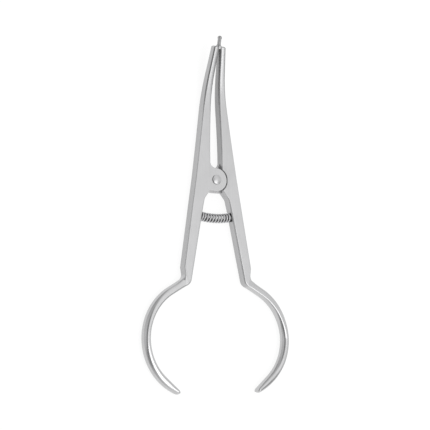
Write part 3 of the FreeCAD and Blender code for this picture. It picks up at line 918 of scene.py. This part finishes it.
def coil_effect():
    """How deep inside the spring a place lies, for painted shade on the wire between its turns."""
    t, given, out = effect("painted_shade_inside_coil", [
        ("Vector", "Vector", None),
        ("Sweep", "Float", SPRING_SWEEP * MM),
        ("Centre Y", "Float", SPRING_CENTRE_Y * MM),
        ("Centre Z", "Float", THICKNESS / 2 * MM),
        ("Bright", "Float", (COIL_RADIUS + 0.8 * WIRE_RADIUS) * MM),
        ("Dark", "Float", (COIL_RADIUS - 0.1 * WIRE_RADIUS) * MM)], "Coil Shade")
    place = t.parts(given["Vector"])
    down = t.take(place["Y"], given["Centre Y"])
    reach = t.math("SQRT", t.add(t.times(place["X"], place["X"]), t.times(down, down)))
    beside = t.take(reach, given["Sweep"])
    above = t.take(place["Z"], given["Centre Z"])
    depth = t.math("SQRT", t.add(t.times(beside, beside), t.times(above, above)))
    t.feed(out, t.spread(depth, given["Bright"], given["Dark"], soft=True))
    return t.tree


EFFECTS = {
    "grain": grain_effect(),
    "scratches": scratch_effect(),
    "haze": haze_effect(),
    "edge": edge_effect(),
    "bow": bow_effect(),
    "flank": flank_effect(),
    "coil_shade": coil_effect(),
}


def steel(name, tone, satin, polished, grain, across=9000.0, along=260.0, side=0.0, bows=False, coil=False):
    """Stainless steel: a belt grain, haze, scratches and worn edges over a tone and two roughnesses, with
    painted shade on its sides and inside the coil.
    """
    finish = bpy.data.materials.new(name)
    finish.use_nodes = True
    t = Tree(finish.node_tree)
    shader = finish.node_tree.nodes["Principled BSDF"]
    where = t.node("ShaderNodeTexCoord").outputs

    def placed(key, **values):
        inputs = {label.replace("_", " "): value for label, value in values.items()}
        return t.node("ShaderNodeGroup", inputs, node_tree=EFFECTS[key]).outputs[0]

    lines = placed("grain", Vector=where["Object"], Across=across, Along=along)
    marks = placed("scratches", Vector=where["Object"])
    haze = placed("haze", Vector=where["Object"])
    shine = t.times(placed("edge", Normal=where["Normal"]), WEAR_POLISH)
    # Painted shade darkens the sides, more between the jaws and along the beak edges, and less on the
    # polished bows.
    painted_shade = placed("flank", Vector=where["Object"], Normal=where["Normal"], Side=side,
                  Between=JAWS_PAINTED_SHADE if bows else 0.0, Beak_Edges=BEAK_EDGE_PAINTED_SHADE if bows else 0.0)
    if bows:
        polish = placed("bow", Vector=where["Object"])
        shine = t.math("MAXIMUM", polish, shine)
        painted_shade = t.times(painted_shade, t.take(1.0, t.times(polish, BOWS_BRIGHTER)))

    rough = t.add(t.spread(shine, 0.0, 1.0, satin, polished), t.times(t.take(lines, 0.5), grain),
                  t.times(t.take(haze, 0.5), HAZE_ROUGHNESS), t.times(marks, SCRATCH_ROUGHNESS))
    t.feed(shader.inputs["Roughness"], rough)

    shade = t.spread(t.add(lines, t.times(haze, 0.3)), 0.3, 1.0, *GRAIN_TONES)
    colour = t.vector("MULTIPLY", tone, shade)
    colour = t.vector("MULTIPLY", colour, t.take(1.0, painted_shade))
    # Painted shade: the wire is darker deep inside the coil, between its turns.
    if coil:
        coil_shade = t.times(placed("coil_shade", Vector=where["Object"]), COIL_SHADE_DARKNESS)
        colour = t.vector("MULTIPLY", colour, t.take(1.0, coil_shade))
    t.feed(shader.inputs["Base Color"], colour)
    shader.inputs["Metallic"].default_value = 1.0

    fade = t.take(1.0, t.math("MINIMUM", t.times(shine, 2.0), 0.85))
    height = t.take(t.times(lines, fade), t.times(marks, 0.5))
    bump = t.node("ShaderNodeBump", {"Height": height, "Strength": BUMP_STRENGTH, "Distance": BUMP_DISTANCE})
    t.feed(shader.inputs["Normal"], bump.outputs[0])
    return finish


def dress(piece, finish):
    piece.data.materials.clear()
    piece.data.materials.append(finish)


# Painted shade darkens the arms' sides, more between the jaws and along the beak edges.
forged_steel = steel("satin_forged_steel", (0.58, 0.58, 0.585), satin=0.34, polished=0.15, grain=0.10,
                     side=0.17, bows=True)
# Painted shade darkens the rivet's steep sides.
rivet_steel = steel("bright_rivet_steel", (0.58, 0.58, 0.585), satin=0.34, polished=0.26, grain=0.05,
                    side=0.5)
# The coil flag paints shade on the wire inside the coil.
wire_steel = steel("drawn_spring_wire", (0.62, 0.62, 0.63), satin=0.22, polished=0.18, grain=0.06,
                   across=2600.0, along=2600.0, coil=True)
stud_steel = steel("turned_stud_steel", (0.56, 0.56, 0.57), satin=0.3, polished=0.24, grain=0.08)


# The pliers

left_arm = build_arm("left_forging", -1)
right_arm = build_arm("right_forging", 1)
rivet = build_rivet()
spring = build_spring(wire_steel)
for piece, finish in ((left_arm, forged_steel), (right_arm, forged_steel), (rivet, rivet_steel)):
    finish_shading(piece)
    dress(piece, finish)
for node in ("left_spring_stud", "right_spring_stud"):
    dress(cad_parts[node], stud_steel)

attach(left_arm, "left")
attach(rivet, "left")
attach(right_arm, "right")
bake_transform(spring)
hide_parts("left_arm")
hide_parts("right_arm")
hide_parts("pivot_rivet")
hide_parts("return_spring")


# Floor, light and camera

def build_floor():
    """A plain white floor that the camera and the metal see as white, with a faint shadow on it."""
    mesh = bpy.data.meshes.new("floor")
    reach = 1.5
    corners = [(-reach, -reach, 0), (reach, -reach, 0), (reach, reach, 0), (-reach, reach, 0)]
    mesh.from_pydata(corners, [], [(0, 1, 2, 3)])
    floor = linked("floor", mesh)
    paper = bpy.data.materials.new("white_paper")
    paper.use_nodes = True
    t = Tree(paper.node_tree)
    t.tree.nodes.clear()
    matt = t.node("ShaderNodeBsdfDiffuse", {"Color": (0.86, 0.86, 0.86, 1)})
    seen_matt = t.node("ShaderNodeBsdfDiffuse", {"Color": (0.2, 0.2, 0.2, 1)})
    glow = t.node("ShaderNodeEmission", {"Color": (1, 1, 1, 1), "Strength": 0.87})
    seen = t.node("ShaderNodeAddShader", {0: seen_matt.outputs[0], 1: glow.outputs[0]})
    ray = t.node("ShaderNodeLightPath").outputs
    direct = t.math("MAXIMUM", ray["Is Glossy Ray"], ray["Is Transmission Ray"])
    direct = t.math("MAXIMUM", ray["Is Camera Ray"], direct)
    mixed = t.node("ShaderNodeMixShader", {0: direct, 1: matt.outputs[0], 2: seen.outputs[0]})
    t.node("ShaderNodeOutputMaterial", {"Surface": mixed.outputs[0]})
    mesh.materials.append(paper)


def build_lamp(name, place, size, power):
    """A flat panel that shines straight down, in metres and watts."""
    lamp = bpy.data.lights.new(name, "AREA")
    lamp.shape = "RECTANGLE"
    lamp.size, lamp.size_y = size
    lamp.energy = power
    linked(name, lamp).location = place


def grey_ramp(t, value, stops):
    """Greys between (place, brightness) stops."""
    made = t.node("ShaderNodeValToRGB", {"Fac": value})
    marks = made.color_ramp.elements
    while len(marks) < len(stops):
        marks.new(0.5)
    for mark, (place, grey) in zip(marks, stops):
        mark.position = place
    for mark, (place, grey) in zip(marks, stops):
        mark.color = (grey, grey, grey, 1)
    return t.times(made.outputs["Color"], 1.0)


def build_world():
    """A pale studio: brightest overhead, greyer to the sides, with the dark gap where the camera hangs."""
    world = bpy.data.worlds.new("pale_studio")
    bpy.context.scene.world = world
    world.use_nodes = True
    t = Tree(world.node_tree)
    way = t.parts(t.node("ShaderNodeTexCoord").outputs["Generated"])
    across = grey_ramp(t, t.math("MULTIPLY_ADD", way["X"], 0.5, 0.5), SKY_ACROSS)
    rise = grey_ramp(t, way["Z"], SKY_RISE)
    away = grey_ramp(t, t.math("MULTIPLY_ADD", way["Y"], 0.5, 0.5), SKY_AWAY)
    level = t.times(across, rise, away)
    for x, y, squash, reach, depth in SKY_GAPS:
        off_x = t.take(way["X"], x)
        off_y = t.times(t.take(way["Y"], y), squash)
        off = t.math("SQRT", t.add(t.times(off_x, off_x), t.times(off_y, off_y)))
        level = t.times(level, t.spread(off, SKY_GAP_CORE, reach, depth, 1.0, soft=True))
    t.feed(world.node_tree.nodes["Background"].inputs["Color"], level)


def build_camera():
    """The photograph's view: from the pliers' left and above, from far off."""
    side_x = math.cos(CAMERA_SIDE)
    across = Vector((side_x, -CAMERA_LEAN, math.sqrt(1 - side_x ** 2 - CAMERA_LEAN ** 2)))
    along = Vector((0, across.z, CAMERA_LEAN)).normalized()
    back = across.cross(along)
    side = across * math.cos(CAMERA_ROLL) + along * math.sin(CAMERA_ROLL)
    rise = along * math.cos(CAMERA_ROLL) - across * math.sin(CAMERA_ROLL)
    off_x, off_y = ((pixel - FRAME_PIXELS / 2) * MM_PER_PIXEL for pixel in RIVET_PIXEL)
    eye = Vector((0, 0, RIVET_MARK_Z)) + back * CAMERA_DISTANCE - side * off_x + rise * off_y
    data = bpy.data.cameras.new("camera")
    data.sensor_width = SENSOR
    data.lens = SENSOR * CAMERA_DISTANCE / (FRAME_PIXELS * MM_PER_PIXEL)
    data.clip_start = 0.01
    camera = linked("camera", data)
    camera.matrix_world = Matrix.Translation(eye * MM) @ Matrix((side, rise, back)).transposed().to_4x4()
    bpy.context.scene.camera = camera


build_floor()
build_lamp("softbox", place=(0.21, -0.31, 0.8), size=(0.46, 0.49), power=0.78)
build_world()
build_camera()
bpy.context.scene.view_settings.view_transform = "Standard"


def plain(bounds):
    return [[float(value) for value in corner] for corner in bounds]
